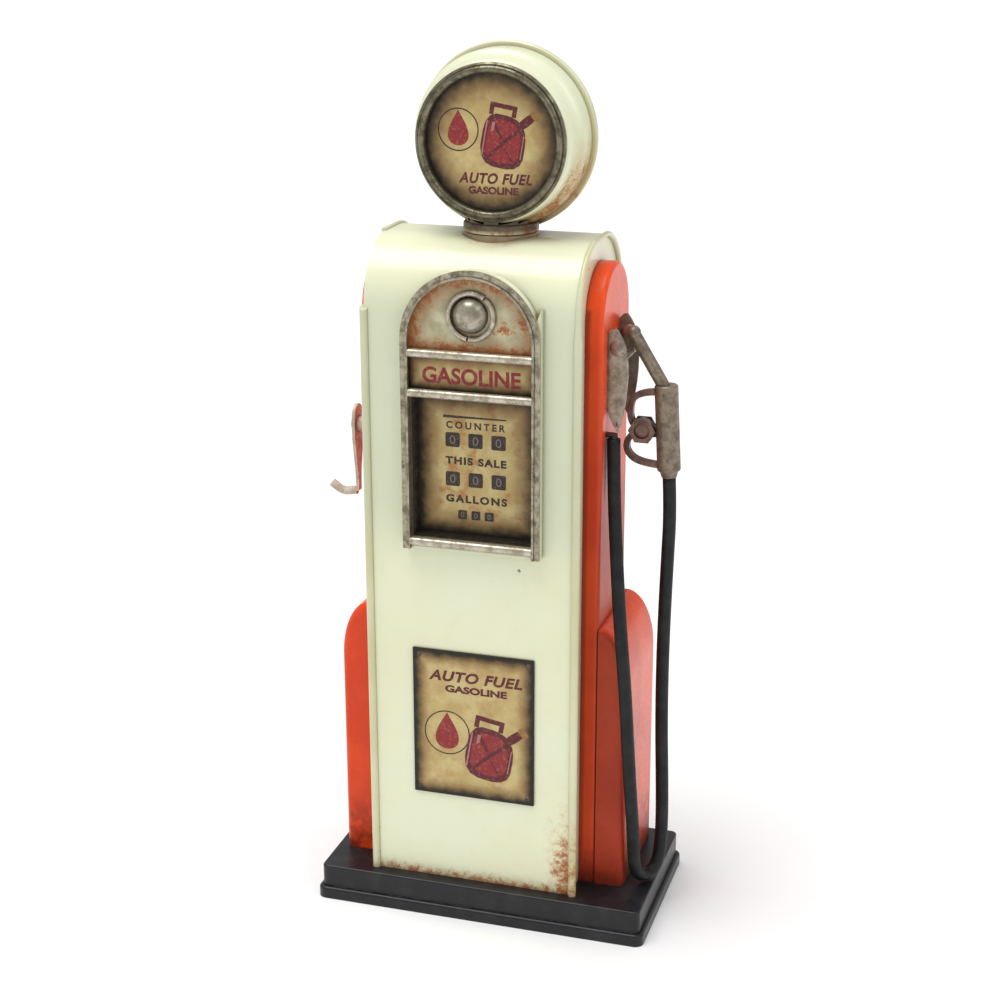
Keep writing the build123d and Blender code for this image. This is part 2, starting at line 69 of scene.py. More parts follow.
CABINET = span("cabinet_wrap")
MID_X = (CABINET[0][0] + CABINET[1][0]) / 2
FLOOR_OF_CABINET = CABINET[0][2]
RING = span("neck_ring")
NECK_X = (RING[0][0] + RING[1][0]) / 2
NECK_Y = (RING[0][1] + RING[1][1]) / 2
NECK_R = (RING[1][0] - RING[0][0]) / 2
FACE = span("globe_face")
GLOBE_X = (FACE[0][0] + FACE[1][0]) / 2
GLOBE_Z = (FACE[0][2] + FACE[1][2]) / 2
GLOBE_FACE_Y = FACE[0][1]
HEADER = span("header_plate")
DIAL = span("dial_plate")
DIAL_X = (DIAL[0][0] + DIAL[1][0]) / 2
ARCH = span("arch_plate")
BAR = span("dial_bar_upper")
COLUMN = span("column_right")
FAIRING = span("fairing_right")
POSTER = span("poster_plate")
WINDOW_HALF = (DIAL[1][0] - DIAL[0][0]) / 2
FRONT = CABINET[0][1]
RIGHT = CABINET[1][0]


# ---- camera ----
CAMERA_AT = (0.20804, -0.673439, 0.39713)
CAMERA_TURN, CAMERA_DROP, CAMERA_ROLL = 17.232, 18.123, -0.101
CAMERA_LENS = 68.195


def camera():
    """The photograph's view: from the right and above, level but for a tenth of a degree."""
    turn, tilt, roll = (math.radians(a) for a in (CAMERA_TURN, 90 - CAMERA_DROP, CAMERA_ROLL))
    data = bpy.data.cameras.new("camera")
    data.lens = CAMERA_LENS
    data.sensor_width = 36
    data.clip_end = 100
    eye = bpy.data.objects.new("camera", data)
    place = Matrix.Translation(CAMERA_AT)
    eye.matrix_world = place @ Matrix.Rotation(turn, 4, "Z") @ Matrix.Rotation(tilt, 4, "X") \
        @ Matrix.Rotation(roll, 4, "Z")
    bpy.context.collection.objects.link(eye)
    bpy.context.scene.camera = eye


# ---- hose ----
HOSE_D = 5.1
# The hose's middle from its stub to the nozzle, x from the cabinet's middle.
HOSE_ROUTE = [(50.2, -9.5, 198.0), (50.6, -9.9, 182.0), (52.8, -13.8, 158.0), (56.4, -20.8, 131.0),
              (59.7, -23.6, 104.0), (61.2, -23.2, 80.0), (62.1, -21.0, 59.0), (62.7, -18.3, 43.0),
              (62.8, -16.0, 31.5), (63.2, -15.2, 22.2), (65.1, -12.0, 17.6), (68.2, -6.9, 17.2),
              (70.2, -3.6, 21.2), (70.9, -2.4, 29.4), (71.0, -2.0, 41.0), (70.5, -1.6, 57.0),
              (69.5, -0.6, 78.0), (69.0, 0.3, 102.0), (69.2, 0.6, 126.0), (69.8, 0.5, 148.0)]
HANDLE_TOP = Vector((67.7, 0, 217.9))
HANDLE_FOOT = Vector((69.6, 0, 184.4))
FERRULE = 2.4
LEAD_IN = 14                              # straight run below the nozzle's ferrule


def route_line():
    """Points along the hose's middle, read from the NURBS spline of its route, in metres."""
    down = (HANDLE_FOOT - HANDLE_TOP).normalized()
    end = HANDLE_FOOT + down * FERRULE
    route = [Vector(p) for p in HOSE_ROUTE] + [end + down * LEAD_IN, end]
    data = bpy.data.curves.new("hose_route", "CURVE")
    data.dimensions = "3D"
    spline = data.splines.new("NURBS")
    spline.points.add(len(route) - 1)
    for point, place in zip(spline.points, route):
        point.co = (*((place + Vector((MID_X, 0, 0))) * MM), 1)
    spline.order_u = 3
    spline.use_endpoint_u = True
    spline.resolution_u = 12
    holder = bpy.data.objects.new("hose_route", data)
    bpy.context.collection.objects.link(holder)
    mesh = bpy.data.meshes.new_from_object(holder)
    line = [v.co.copy() for v in mesh.vertices]
    bpy.data.objects.remove(holder)
    bpy.data.meshes.remove(mesh)
    return line


def tube(name, line, radius, sides=28):
    """Round tube along a line, closed at both ends, with rings that don't twist."""
    bm = bmesh.new()
    rings = []
    across = None
    for i, point in enumerate(line):
        ahead = (line[min(i + 1, len(line) - 1)] - line[max(i - 1, 0)]).normalized()
        if across is None:
            across = ahead.orthogonal().normalized()
        across = (across - ahead * across.dot(ahead)).normalized()
        other = ahead.cross(across)
        angles = [2 * math.pi * k / sides for k in range(sides)]
        rings.append([bm.verts.new(point + radius * (math.cos(a) * across + math.sin(a) * other))
                      for a in angles])
    for low, high in zip(rings, rings[1:]):
        for k in range(sides):
            bm.faces.new((low[k], low[(k + 1) % sides], high[(k + 1) % sides], high[k]))
    bm.faces.new(reversed(rings[0]))
    bm.faces.new(rings[-1])
    bmesh.ops.recalc_face_normals(bm, faces=bm.faces)
    return finished(name, bm)


def finished(name, bm, smooth=True):
    mesh = bpy.data.meshes.new(name)
    bm.to_mesh(mesh)
    bm.free()
    for face in mesh.polygons:
        face.use_smooth = smooth
    piece = bpy.data.objects.new(name, mesh)
    bpy.context.collection.objects.link(piece)
    return piece


def hose(finish):
    line = route_line()
    piece = tube("hose_tube", line, HOSE_D * MM / 2)
    piece.data.materials.append(finish)
    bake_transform(piece)
    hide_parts("hose")


# ---- materials ----
class Paint:
    """A material and short calls for its nodes. Sizes and places are millimetres at rest."""

    def __init__(self, name, **sockets):
        self.material = bpy.data.materials.new(name)
        self.material.use_nodes = True
        self.tree = self.material.node_tree
        self.shader = self.tree.nodes["Principled BSDF"]
        for socket, value in sockets.items():
            self.shader.inputs[socket.replace("_", " ")].default_value = value
        self.where = self.tree.nodes.new("ShaderNodeTexCoord").outputs["Object"]
        split = self.node("SeparateXYZ", self.where)
        self.x, self.y, self.z = (self.math("MULTIPLY", split.outputs[i], 1 / MM) for i in range(3))

    def node(self, kind, *inputs, **settings):
        made = self.tree.nodes.new("ShaderNode" + kind)
        for key, value in settings.items():
            setattr(made, key, value)
        for socket, value in zip(made.inputs, inputs):
            self.feed(socket, value)
        return made

    def feed(self, socket, value):
        if isinstance(value, bpy.types.NodeSocket):
            self.tree.links.new(value, socket)
        elif value is not None:
            socket.default_value = value

    def math(self, operation, a, b=0.0, clamp=False):
        return self.node("Math", a, b, operation=operation, use_clamp=clamp).outputs[0]

    def add(self, *values):
        total = values[0]
        for value in values[1:]:
            total = self.math("ADD", total, value)
        return total

    def times(self, *values):
        total = values[0]
        for value in values[1:]:
            total = self.math("MULTIPLY", total, value)
        return total

    def most(self, *values):
        total = values[0]
        for value in values[1:]:
            total = self.math("MAXIMUM", total, value)
        return total

    def less(self, a, b):
        return self.math("SUBTRACT", a, b)

    def off(self, value, centre):
        """Distance of a coordinate from a centre."""
        return self.math("ABSOLUTE", self.less(value, centre))

    def radius(self, a, b):
        return self.math("SQRT", self.add(self.times(a, a), self.times(b, b)))

    def rise(self, value, low, high):
        """0 at low, 1 at high, smooth between; low may be the larger."""
        made = self.node("MapRange", interpolation_type="SMOOTHSTEP")
        for i, v in enumerate((value, low, high, 0.0, 1.0)):
            self.feed(made.inputs[i], v)
        return made.outputs[0]

    def noise(self, size, detail=3.0, rough=0.55, stretch=(1, 1, 1), shift=0.0, distort=0.0):
        where = self.node("Mapping", self.where)
        where.inputs["Location"].default_value = (shift, shift, shift)
        where.inputs["Scale"].default_value = [1 / s for s in stretch]
        made = self.node("TexNoise")
        self.feed(made.inputs["Vector"], where.outputs[0])
        for socket, value in (("Scale", 1 / (size * MM)), ("Detail", detail), ("Roughness", rough),
                              ("Distortion", distort)):
            made.inputs[socket].default_value = value
        return made.outputs["Fac"]

    def chips(self, size, share):
        """1 inside scattered irregular flecks: share is how much of a cell they fill."""
        made = self.node("TexVoronoi")
        wobble = self.node("VectorMath", self.where, operation="ADD")
        bend = self.node("TexNoise")
        self.feed(bend.inputs["Vector"], self.where)
        bend.inputs["Scale"].default_value = 4 / (size * MM)
        shift = self.node("VectorMath", bend.outputs["Color"], operation="SCALE")
        shift.inputs["Scale"].default_value = 0.25 * size * MM
        self.feed(wobble.inputs[1], shift.outputs[0])
        self.feed(made.inputs["Vector"], wobble.outputs[0])
        made.inputs["Scale"].default_value = 1 / (size * MM)
        return self.rise(made.outputs["Distance"], share, share * 0.6)

    def mix(self, share, a, b):
        made = self.node("Mix", data_type="RGBA")
        self.feed(made.inputs[0], share)
        self.feed(made.inputs[6], a if isinstance(a, bpy.types.NodeSocket) else (*a, 1))
        self.feed(made.inputs[7], b if isinstance(b, bpy.types.NodeSocket) else (*b, 1))
        return made.outputs[2]

    def crevice(self, reach, sharp=(0.15, 0.75)):
        """1 deep in corners and gaps, 0 in the open."""
        made = self.node("AmbientOcclusion", samples=12)
        made.inputs["Distance"].default_value = reach * MM
        return self.rise(self.less(1.0, made.outputs["AO"]), *sharp)

    def edge(self, radius):
        """1 on sharp edges, 0 on flat stretches."""
        made = self.node("Bevel", samples=6)
        made.inputs["Radius"].default_value = radius * MM
        flat = self.tree.nodes.new("ShaderNodeNewGeometry").outputs["Normal"]
        meet = self.node("VectorMath", made.outputs[0], operation="DOT_PRODUCT")
        self.feed(meet.inputs[1], flat)
        return self.rise(meet.outputs["Value"], 0.995, 0.90)

    def colour(self, value):
        self.feed(self.shader.inputs["Base Color"], value)

    def rough(self, value):
        self.feed(self.shader.inputs["Roughness"], value)

    def level(self, value, low, high):
        """A 0 to 1 value mapped onto low to high."""
        return self.add(self.times(value, high - low), low)

    def bumps(self, *layers):
        """Each layer is (height 0 to 1, depth in mm)."""
        normal = None
        for height, depth in layers:
            made = self.node("Bump")
            made.inputs["Distance"].default_value = depth * MM
            self.feed(made.inputs["Height"], height)
            self.feed(made.inputs["Normal"], normal)
            normal = made.outputs[0]
        self.feed(self.shader.inputs["Normal"], normal)


CREAM = (0.80, 0.83, 0.60)
CREAM_WARM = (0.78, 0.76, 0.50)
GRIME_AND_SHADE = (0.22, 0.16, 0.06)
RUST = (0.37, 0.115, 0.028)
RUST_DARK = (0.07, 0.025, 0.012)
RUST_STAIN = (0.62, 0.40, 0.16)
ROOF = (262, 266)           # heights between which the cabinet's shoulder becomes its roof
GLOBE_FOOT = (282, 274)     # heights between which the neck's rust and painted shade come on, downwards


def rusted(paint, colour, amount):
    """Rust laid over a colour: an orange-brown bloom with dark cores. Returns (colour, how rusty)."""
    grain = paint.noise(3.2, detail=6, rough=0.7)
    fine = paint.noise(0.9, detail=4, rough=0.7)
    reach = paint.add(amount, paint.times(paint.add(grain, -0.5), 1.1),
                      paint.times(paint.add(fine, -0.5), 0.5))
    bloom = paint.rise(reach, 0.42, 0.72)
    core = paint.rise(reach, 0.72, 1.02)
    stain = paint.rise(reach, 0.18, 0.60)
    stained = paint.mix(paint.times(stain, 0.45), colour, RUST_STAIN)
    return paint.mix(core, paint.mix(bloom, stained, RUST), RUST_DARK), bloom


def window_walls(paint):
    """1 on the walls inside the dial's window, where shade is painted, 0 elsewhere."""
    return paint.times(paint.rise(paint.off(paint.x, DIAL_X), WINDOW_HALF + 1.8, WINDOW_HALF + 1.4),
                       paint.rise(paint.z, DIAL[0][2] - 0.6, DIAL[0][2] - 0.3),
                       paint.rise(paint.z, HEADER[1][2] + 1, HEADER[1][2]),
                       paint.rise(paint.y, FRONT + 1, FRONT + 0.5))


def neck_marks(paint):
    """Three masks round the globe's neck: rust on the roof, the ring itself, which takes painted shade under
    the globe, and shade on the hose side.
    """
    from_neck = paint.radius(paint.less(paint.x, NECK_X), paint.less(paint.y, NECK_Y))
    top_only = paint.times(paint.rise(paint.z, *ROOF), paint.rise(paint.z, *GLOBE_FOOT))
    rust = paint.times(paint.rise(from_neck, NECK_R + 9, NECK_R - 2), top_only)
    ring = paint.times(paint.rise(from_neck, NECK_R + 1.2, NECK_R + 0.2), top_only)
    shade = paint.times(paint.rise(from_neck, NECK_R + 6, NECK_R - 1), top_only,
                        paint.rise(paint.x, NECK_X - 9, NECK_X + 9))
    return rust, ring, shade


def globe_underside(paint):
    """1 on the globe's lower right, 0 elsewhere."""
    low_right = paint.add(paint.times(paint.less(paint.x, GLOBE_X), 0.62),
                          paint.times(paint.less(paint.z, GLOBE_Z), -0.78))
    return paint.times(paint.rise(low_right, 10, 33), paint.rise(paint.z, 270, 274),
                       paint.rise(paint.y, -11, -5))


def cream(name="cream_enamel", tone_b=CREAM_WARM, warm=0.5, rust_share=1.0):
    paint = Paint(name, IOR=1.5, Coat_Weight=0.30, Coat_Roughness=0.12)
    tone = paint.add(paint.times(paint.rise(paint.noise(55, detail=2), 0.35, 0.65), 0.5), warm - 0.5)
    base = paint.mix(tone, CREAM, tone_b)
    spots = paint.rise(paint.noise(7, detail=4), 0.5, 0.8)
    base = paint.mix(paint.times(spots, 0.18), base, (0.70, 0.68, 0.42))
    gap = paint.crevice(2.6)
    wide_gap = paint.crevice(6.0, (0.30, 0.95))
    # Broad painted shade in hollows and beside raised parts, from a 15 mm occlusion mask.
    base = paint.mix(paint.times(paint.crevice(15.0, (0.05, 0.60)), 0.45), base, (0.50, 0.52, 0.37))
    # Painted shade on the front beside and above the dial.
    shade_beside_dial = paint.times(paint.rise(paint.z, 264, 244), paint.rise(paint.z, 140, 178),
                              paint.rise(paint.y, FRONT + 8, FRONT + 1))
    base = paint.mix(paint.times(shade_beside_dial, 0.42), base, (0.50, 0.56, 0.42))
    # Gaps and corners darkened: grime together with painted shade, from an occlusion mask.
    base = paint.mix(paint.times(gap, 0.85), base, GRIME_AND_SHADE)
    # Painted shade: the walls inside the dial's window darkened nearly to black.
    base = paint.mix(paint.times(window_walls(paint), 0.9), base, (0.055, 0.045, 0.028))
    foot = paint.rise(paint.z, FLOOR_OF_CABINET + 8, FLOOR_OF_CABINET)
    corner = paint.times(paint.rise(paint.z, FLOOR_OF_CABINET + 62, FLOOR_OF_CABINET + 4),
                         paint.rise(paint.x, RIGHT - 17, RIGHT - 3), paint.rise(paint.y, FRONT + 12, FRONT))
    neck, ring, shade = neck_marks(paint)
    under = globe_underside(paint)
    base = paint.mix(paint.times(under, 0.65), base, (0.44, 0.34, 0.13))
    amount = paint.most(paint.times(foot, 0.58), paint.times(corner, 0.68), paint.times(neck, 0.48),
                        paint.times(under, 0.60), paint.times(wide_gap, 0.44),
                        paint.times(paint.edge(0.5), 0.36))
    coloured, rusty = rusted(paint, base, paint.times(amount, rust_share))
    fleck = paint.times(paint.chips(17, 0.045), paint.rise(paint.noise(40, shift=3.1), 0.52, 0.56))
    # Painted shade: the neck ring under the globe, and the roof beside the neck on the hose side.
    neck_shade = paint.most(paint.times(ring, 0.85), paint.times(shade, 0.6))
    coloured = paint.mix(neck_shade, coloured, (0.17, 0.10, 0.04))
    paint.colour(paint.mix(paint.times(fleck, 0.8), coloured, RUST_DARK))
    paint.rough(paint.add(paint.level(paint.noise(9, detail=4), 0.22, 0.40), paint.times(rusty, 0.35)))
    paint.bumps((paint.noise(24, detail=1), 0.25), (paint.noise(2.2, detail=2), 0.018),
                (paint.add(rusty, paint.times(fleck, -1.0)), 0.05))
    return paint.material


def rusted_cream():
    paint = Paint("rusted_cream", IOR=1.5, Coat_Weight=0.15, Coat_Roughness=0.25)
    mottle = paint.rise(paint.noise(6, detail=4), 0.35, 0.65)
    base = paint.mix(mottle, (0.42, 0.39, 0.22), (0.62, 0.60, 0.40))
    arch_middle = ARCH[1][2] - (ARCH[1][0] - ARCH[0][0]) / 2
    from_middle = paint.radius(paint.less(paint.x, DIAL_X), paint.less(paint.z, arch_middle))
    on_arch = paint.rise(paint.z, ARCH[1][2] + 3, ARCH[1][2] + 1)
    rim = paint.times(paint.rise(from_middle, WINDOW_HALF * 0.55, WINDOW_HALF), on_arch)
    sill = paint.times(paint.rise(paint.z, BAR[1][2] + 8, BAR[1][2] - 1), on_arch)
    glaze = paint.times(paint.most(rim, sill), paint.rise(paint.noise(8, detail=5, shift=7.7), 0.20, 0.55))
    base = paint.mix(paint.times(glaze, 0.85), base, (0.26, 0.11, 0.038))
    gap = paint.crevice(5.0, (0.05, 0.8))
    patch = paint.rise(paint.noise(9, detail=5, rough=0.65, shift=1.7), 0.46, 0.60)
    waist = paint.times(paint.rise(paint.z, 272.6, 274.6), paint.rise(paint.z, 281, 279))
    amount = paint.most(paint.times(gap, 0.66), paint.times(patch, 0.60), paint.times(waist, 0.45),
                        paint.times(rim, 0.62), paint.times(sill, 0.68))
    coloured, rusty = rusted(paint, base, amount)
    # The collar's waist under the globe: some rust, then painted shade darkening it to near black.
    coloured = paint.mix(paint.times(waist, 0.88), coloured, (0.050, 0.028, 0.016))
    # Gaps and corners darkened: grime together with painted shade, from an occlusion mask.
    paint.colour(paint.mix(paint.times(paint.crevice(2.0), 0.7), coloured, (0.04, 0.03, 0.012)))
    paint.rough(paint.add(paint.level(paint.noise(5), 0.35, 0.5), paint.times(rusty, 0.25)))
    paint.bumps((paint.noise(2.0, detail=3), 0.04), (rusty, 0.05))
    return paint.material


def column_front(paint):
    """1 on the front of the hose side's column, 0 behind it and left of it."""
    return paint.times(paint.rise(paint.y, COLUMN[0][1] + 1.2, COLUMN[0][1] + 0.6), hose_side(paint))


def hose_side(paint):
    return paint.rise(paint.x, COLUMN[0][0] - 0.5, COLUMN[0][0] + 0.1)


def orange():
    paint = Paint("orange_enamel", IOR=1.45, Coat_Weight=0.06, Coat_Roughness=0.10, Specular_IOR_Level=0.28)
    broad = paint.rise(paint.noise(30, detail=3), 0.35, 0.65)
    base = paint.mix(broad, (0.86, 0.082, 0.014), (0.72, 0.054, 0.010))
    specks = paint.rise(paint.noise(3.5, detail=4), 0.55, 0.8)
    base = paint.mix(paint.times(specks, 0.25), base, (0.45, 0.035, 0.012))
    # Gaps and corners: dark grime together with painted shade, from an occlusion mask.
    gap = paint.crevice(2.2)
    # Darker towards the floor, in noisy patches.
    foot = paint.rise(paint.z, FLOOR_OF_CABINET + 34, FLOOR_OF_CABINET - 2)
    low_dark = paint.times(foot, paint.rise(paint.noise(6, detail=5, rough=0.65), 0.34, 0.62))
    # Painted shade on the front of the fairing on the hose side, with a little noise.
    face = paint.times(paint.rise(paint.y, FAIRING[0][1] + 1.6, FAIRING[0][1] + 0.6),
                       paint.rise(paint.x, COLUMN[1][0] - 0.5, COLUMN[1][0] + 0.5),
                       paint.level(paint.noise(12, detail=4), 0.7, 1.0))
    strip = paint.times(column_front(paint), paint.rise(paint.z, 262, 200))
    cheek = paint.times(paint.rise(paint.x, COLUMN[1][0] - 0.4, COLUMN[1][0] - 0.1),
                        paint.rise(paint.x, COLUMN[1][0] + 0.7, COLUMN[1][0] + 0.3),
                        paint.rise(paint.z, 215, 140))
    # Painted shadow on the column's front beside the cabinet's edge.
    cabinet_edge_shadow = paint.times(column_front(paint), paint.rise(paint.x, COLUMN[0][0] + 3.2, COLUMN[0][0] + 1.0))
    toe = paint.times(paint.rise(paint.z, FLOOR_OF_CABINET + 24, FLOOR_OF_CABINET - 1), hose_side(paint),
                      paint.rise(paint.noise(7, detail=5, rough=0.6, shift=9.1), 0.15, 0.50))
    worn = paint.times(paint.edge(0.45), paint.rise(paint.noise(5, detail=4), 0.45, 0.65), 0.5)
    # Darkening from real dirt and wear together with painted shade and shadow.
    dirt_and_shade = paint.most(paint.times(cabinet_edge_shadow, 0.62), paint.times(toe, 0.80), paint.times(strip, 0.30),
                      paint.times(cheek, 0.42), paint.times(gap, 0.9), paint.times(low_dark, 0.75),
                      paint.times(face, 0.58), worn)
    paint.colour(paint.mix(dirt_and_shade, base, (0.035, 0.012, 0.008)))
    paint.rough(paint.add(paint.level(paint.noise(8, detail=4), 0.20, 0.36), paint.times(dirt_and_shade, 0.3)))
    paint.bumps((paint.noise(20, detail=1), 0.22), (paint.noise(1.8, detail=2), 0.016))
    return paint.material


def black():
    paint = Paint("black_enamel", IOR=1.45, Coat_Weight=0.12, Coat_Roughness=0.15, Specular_IOR_Level=0.35)
    mottle = paint.rise(paint.noise(9, detail=5), 0.45, 0.7)
    base = paint.mix(mottle, (0.010, 0.010, 0.012), (0.020, 0.020, 0.023))
    worn = paint.times(paint.edge(0.6), paint.rise(paint.noise(4, detail=5), 0.42, 0.62))
    rub = paint.times(paint.rise(paint.noise(14, detail=6, rough=0.65, shift=4.0), 0.60, 0.72), 0.5)
    base = paint.mix(rub, base, (0.050, 0.034, 0.020))
    paint.colour(paint.mix(worn, base, (0.12, 0.115, 0.11)))
    paint.rough(paint.level(paint.noise(6, detail=4), 0.26, 0.46))
    paint.bumps((paint.noise(18, detail=1), 0.2), (paint.noise(1.6, detail=3), 0.025))
    return paint.material


def metal(name, bright, dull, dark, shine=0.75, rough=(0.28, 0.48)):
    """Tarnished metal: bright where it is rubbed, dark in its corners."""
    paint = Paint(name, Metallic=shine)
    mottle = paint.rise(paint.noise(3.6, detail=6, rough=0.68), 0.38, 0.64)
    base = paint.mix(mottle, bright, dull)
    spots = paint.rise(paint.noise(1.3, detail=5, rough=0.7, shift=2.2), 0.55, 0.70)
    tarnish = paint.most(paint.times(paint.crevice(2.2, (0.08, 0.72)), 0.92), paint.times(spots, 0.6))
    coloured = paint.mix(tarnish, base, dark)
    rub = paint.times(paint.edge(0.4), paint.rise(paint.noise(2.5, detail=3), 0.40, 0.60))
    paint.colour(paint.mix(paint.times(rub, 0.8), coloured, [min(1.0, c * 1.35) for c in bright]))
    paint.rough(paint.add(paint.level(mottle, *rough), paint.times(tarnish, 0.2)))
    paint.bumps((paint.noise(5, detail=2), 0.10), (paint.noise(0.9, detail=4, rough=0.6), 0.022))
    return paint.material


def rubber():
    paint = Paint("hose_rubber", IOR=1.45, Specular_IOR_Level=0.32)
    mottle = paint.rise(paint.noise(6, detail=5), 0.4, 0.7)
    paint.colour(paint.mix(mottle, (0.007, 0.008, 0.009), (0.016, 0.017, 0.018)))
    paint.rough(paint.level(paint.noise(4, detail=4), 0.42, 0.60))
    paint.bumps((paint.noise(1.4, detail=4), 0.03),)
    return paint.material


def parchment(name, border, warm=0.0):
    """Aged print on tin; border(paint) is 0 in the middle of the plate and 1 at its edge."""
    paint = Paint(name, IOR=1.45, Coat_Weight=0.05, Coat_Roughness=0.2, Specular_IOR_Level=0.3)
    mottle = paint.rise(paint.noise(9, detail=5), 0.35, 0.65)
    base = paint.mix(mottle, (0.60, 0.49, 0.225), (0.50, 0.36, 0.145))
    specks = paint.rise(paint.noise(1.2, detail=4), 0.5, 0.75)
    base = paint.mix(paint.times(specks, 0.25), base, (0.30, 0.20, 0.09))
    foxing = paint.rise(paint.noise(6, detail=5, rough=0.65, shift=5.5), 0.50, 0.68)
    base = paint.mix(paint.times(foxing, 0.35 + warm), base, (0.42, 0.20, 0.07))
    reach = paint.add(border(paint), paint.times(paint.add(paint.noise(5, detail=4), -0.5), 0.22))
    toned = paint.mix(paint.times(paint.rise(reach, 0.48, 0.80), 0.75), base, (0.22, 0.115, 0.040))
    paint.colour(paint.mix(paint.rise(reach, 0.70, 0.95), toned, (0.020, 0.016, 0.011)))
    paint.rough(paint.level(paint.noise(4, detail=3), 0.32, 0.50))
    paint.bumps((paint.noise(12, detail=2), 0.12), (paint.noise(0.9, detail=3), 0.012))
    return paint.material


def square_border(box, soft=0.16):
    """Border of an oblong plate, from its CAD box: 1 at its nearest edge, 0 a few millimetres in."""
    middle = [(a + b) / 2 for a, b in zip(*box)]
    half = [(b - a) / 2 for a, b in zip(*box)]
    width = soft * 2 * min(half[0], half[2])

    def border(paint):
        sideways = paint.less(half[0], paint.off(paint.x, middle[0]))
        upright = paint.less(half[2], paint.off(paint.z, middle[2]))
        inside = paint.math("MINIMUM", sideways, upright)
        return paint.less(1.0, paint.times(inside, 0.5 / width))
    return border


ROUND_BORDER_R = 26.8


def round_border(paint):
    """Border of the globe's print: 1 at ROUND_BORDER_R from its middle."""
    across = paint.radius(paint.less(paint.x, GLOBE_X), paint.less(paint.z, GLOBE_Z))
    return paint.times(across, 1 / ROUND_BORDER_R)


def ink(name, colour, worn=0.35):
    """Printed colour, thinned where the print has rubbed off."""
    paint = Paint(name, IOR=1.45)
    thin = paint.times(paint.rise(paint.noise(1.1, detail=5, rough=0.7), 0.50, 0.72), worn)
    base = paint.mix(paint.noise(2.5, detail=3), colour, [c * 0.6 for c in colour])
    paint.colour(paint.mix(thin, base, (0.44, 0.33, 0.15)))
    paint.rough(paint.level(paint.noise(3), 0.35, 0.5))
    paint.bumps((paint.noise(0.7, detail=3), 0.01),)
    return paint.material


# Each metal: bright colour, dull colour, tarnish, metallic share, roughness where bright and dull.
METALS = {
    "antique_silver": ((0.42, 0.38, 0.28), (0.20, 0.17, 0.115), (0.030, 0.022, 0.013), 0.75, (0.30, 0.50)),
    "rubbed_silver": ((0.62, 0.57, 0.46), (0.36, 0.31, 0.23), (0.045, 0.032, 0.020), 0.6, (0.24, 0.42)),
    "crank_tin": ((0.62, 0.57, 0.46), (0.46, 0.41, 0.31), (0.10, 0.075, 0.05), 0.0, (0.40, 0.60)),
    "lamp_tin": ((0.44, 0.40, 0.32), (0.25, 0.22, 0.16), (0.05, 0.038, 0.025), 0.6, (0.22, 0.38)),
    "bezel_metal": ((0.21, 0.19, 0.125), (0.095, 0.083, 0.052), (0.018, 0.014, 0.008), 0.75, (0.26, 0.44)),
    "tarnished_metal": ((0.26, 0.205, 0.15), (0.15, 0.115, 0.08), (0.030, 0.018, 0.012), 0.45, (0.34, 0.50)),
    "tarnished_guard": ((0.20, 0.115, 0.085), (0.13, 0.065, 0.048), (0.025, 0.012, 0.009), 0.5, (0.34, 0.52)),
    "leaf_pewter": ((0.36, 0.315, 0.25), (0.21, 0.175, 0.13), (0.05, 0.036, 0.025), 0.5, (0.28, 0.44)),
    # The dial's recess walls take dark_steel, so their darkness there is painted shade.
    "dark_steel": ((0.12, 0.10, 0.08), (0.06, 0.05, 0.04), (0.015, 0.010, 0.008), 0.75, (0.28, 0.48)),
}

# Nodes whose look differs from the rest of their slot.
OWN_FINISH = {
    "rubbed_silver": ("dial_bar_upper", "dial_bar_middle", "dial_bar_lower", "lamp_ring"),
    "crank_tin": ("crank_plate", "crank_grip", "crank_rivet", "crank_post"),
    "lamp_tin": ("lamp_dome",),
    "bezel_metal": ("globe_bezel",),
    "tarnished_guard": ("nozzle_guard", "nozzle_bolt", "nozzle_nut"),
    "leaf_pewter": ("holster_front", "holster_rear"),
    "bead_enamel": ("front_bead_left", "front_bead_right", "globe_flange", "rim_bead_left",
                    "rim_bead_right"),
}


def finish_nodes():
    """Gives every CAD node its material: its own finish if it has one, or else its slot's."""
    finishes = {name: metal(name, *colours, shine=shine, rough=rough)
                for name, (*colours, shine, rough) in METALS.items()}
    bead = cream("bead_enamel", tone_b=(0.58, 0.55, 0.30), warm=0.9, rust_share=0.7)
    finishes |= {"cream_enamel": cream(), "rusted_cream": rusted_cream(), "orange_enamel": orange(),
                 "black_enamel": black(), "hose_rubber": rubber(), "bead_enamel": bead}
    special = {"header_plate": parchment("header_print", square_border(HEADER, 0.46), warm=0.3),
               # The dial's dark border is aged toning together with painted shade from the recess it sits in.
               "dial_plate": parchment("dial_print", square_border(DIAL, 0.24), warm=0.6),
               "poster_plate": parchment("poster_print", square_border(POSTER, 0.15)),
               "globe_face": parchment("globe_print", round_border)}
    for finish, nodes in OWN_FINISH.items():
        special |= {node: finishes[finish] for node in nodes}
    slots = {part["node"]: part["material_slot"] for part in RECORD["subparts"]}
    for node, piece in frame["nodes"].items():
        material = special.get(node) or finishes[slots[node]]
        for slot in piece.material_slots:
            slot.material = material
    return finishes


# ---- prints: thin raised layers on the plates ----
PRINT_LIFT = 0.06


def keep(piece, body, material):
    piece.data.materials.clear()
    piece.data.materials.append(material)
    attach(piece, body)
    return piece


def plates(name, outlines, y, thick, body, material):
    """Flat pieces with the given outlines, each a list of (x, z), standing thick in front of y."""
    bm = bmesh.new()
    for outline in outlines:
        back = [bm.verts.new((x * MM, y * MM, z * MM)) for x, z in outline]
        front = [bm.verts.new((x * MM, (y - thick) * MM, z * MM)) for x, z in outline]
        bm.faces.new(back)
        bm.faces.new(reversed(front))
        count = len(outline)
        for i in range(count):
            bm.faces.new((back[i], front[i], front[(i + 1) % count], back[(i + 1) % count]))
    bmesh.ops.recalc_face_normals(bm, faces=bm.faces)
    return keep(finished(name, bm, smooth=False), body, material)


